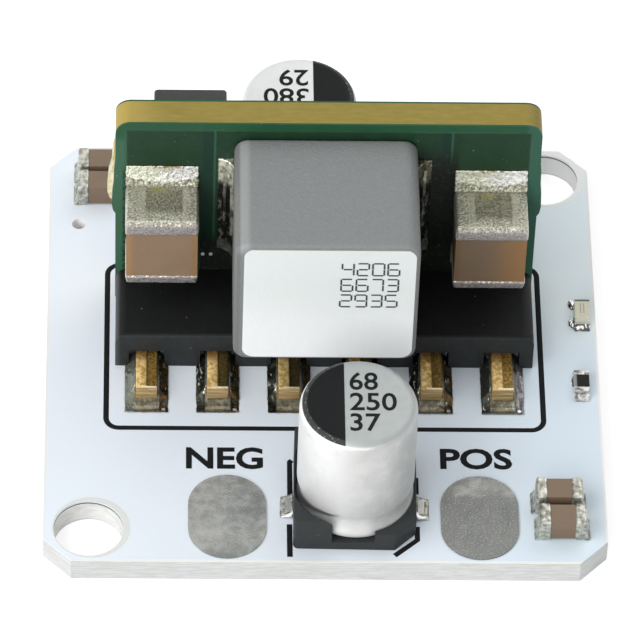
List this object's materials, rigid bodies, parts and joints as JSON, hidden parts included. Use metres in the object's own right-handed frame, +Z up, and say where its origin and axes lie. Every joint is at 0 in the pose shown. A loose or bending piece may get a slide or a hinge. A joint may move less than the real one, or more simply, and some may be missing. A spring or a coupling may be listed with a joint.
{
  "type": "buck converter module",
  "caption": "Step-down power converter: an upright board with its inductor and capacitors on a pin header, soldered to a white mounting board.",
  "frame": {"origin": "centre of the carrier board's underside", "axes": "+X to the right seen from the output side, +Y from the output side to the input side, +Z up, out of the carrier board"},
  "size_m": [0.0198, 0.0196, 0.0103],
  "materials": {
    "carrier_board": "white solder mask on glass-fibre laminate",
    "wire_pad": "dull tinned copper",
    "header_body": "black moulded plastic",
    "module_board": "dark green solder mask on ochre laminate",
    "pin": "gold-flashed brass",
    "pin_solder": "shiny solder under clear flux",
    "inductor_core": "pressed grey metal powder",
    "inductor_terminal": "tinned strap",
    "board_solder": "bright mottled solder",
    "chip_ceramic": "brown fired ceramic",
    "chip_ends": "tinned end caps, matt and mottled",
    "can": "satin drawn aluminium",
    "can_base": "dark grey moulded plastic",
    "can_leads": "tinned flat lead",
    "can_solder": "solder",
    "light_base": "white carrier",
    "light_lens": "pale yellow resin",
    "resistor_body": "white alumina",
    "resistor_glaze": "black glaze",
    "converter_ic": "black mould compound",
    "feedback_chips": "black-topped chip resistors"
  },
  "bodies": {
    "root": {"carrier_board": "carrier_board", "output_pad_minus": "wire_pad", "output_pad_plus": "wire_pad", "input_pad_minus": "wire_pad", "input_pad_plus": "wire_pad", "header_body": "header_body", "module_board": "module_board", "pin_1": "pin", "pin_2": "pin", "pin_3": "pin", "pin_4": "pin", "pin_5": "pin", "pin_6": "pin", "pin_solder_1": "pin_solder", "pin_solder_2": "pin_solder", "pin_solder_3": "pin_solder", "pin_solder_4": "pin_solder", "pin_solder_5": "pin_solder", "pin_solder_6": "pin_solder", "inductor_core": "inductor_core", "inductor_terminal_left": "inductor_terminal", "inductor_terminal_right": "inductor_terminal", "inductor_solder": "board_solder", "left_mlcc_body": "chip_ceramic", "left_mlcc_ends": "chip_ends", "left_mlcc_solder": "board_solder", "right_mlcc_body": "chip_ceramic", "right_mlcc_ends": "chip_ends", "right_mlcc_solder": "board_solder", "output_can": "can", "output_can_base": "can_base", "output_can_leads": "can_leads", "output_can_solder": "can_solder", "input_can": "can", "input_can_base": "can_base", "input_can_leads": "can_leads", "input_can_solder": "can_solder", "output_chip_1_body": "chip_ceramic", "output_chip_1_ends": "chip_ends", "output_chip_2_body": "chip_ceramic", "output_chip_2_ends": "chip_ends", "input_chip_1_body": "chip_ceramic", "input_chip_1_ends": "chip_ends", "input_chip_2_body": "chip_ceramic", "input_chip_2_ends": "chip_ends", "light_base": "light_base", "light_lens": "light_lens", "light_ends": "chip_ends", "resistor_body": "resistor_body", "resistor_glaze": "resistor_glaze", "resistor_ends": "chip_ends", "converter_ic": "converter_ic", "converter_ic_pads": "chip_ends", "rear_mlcc_1_body": "chip_ceramic", "rear_mlcc_1_ends": "chip_ends", "rear_mlcc_2_body": "chip_ceramic", "rear_mlcc_2_ends": "chip_ends", "feedback_chips_body": "feedback_chips", "feedback_chips_ends": "chip_ends"}
  },
  "joints": []
}
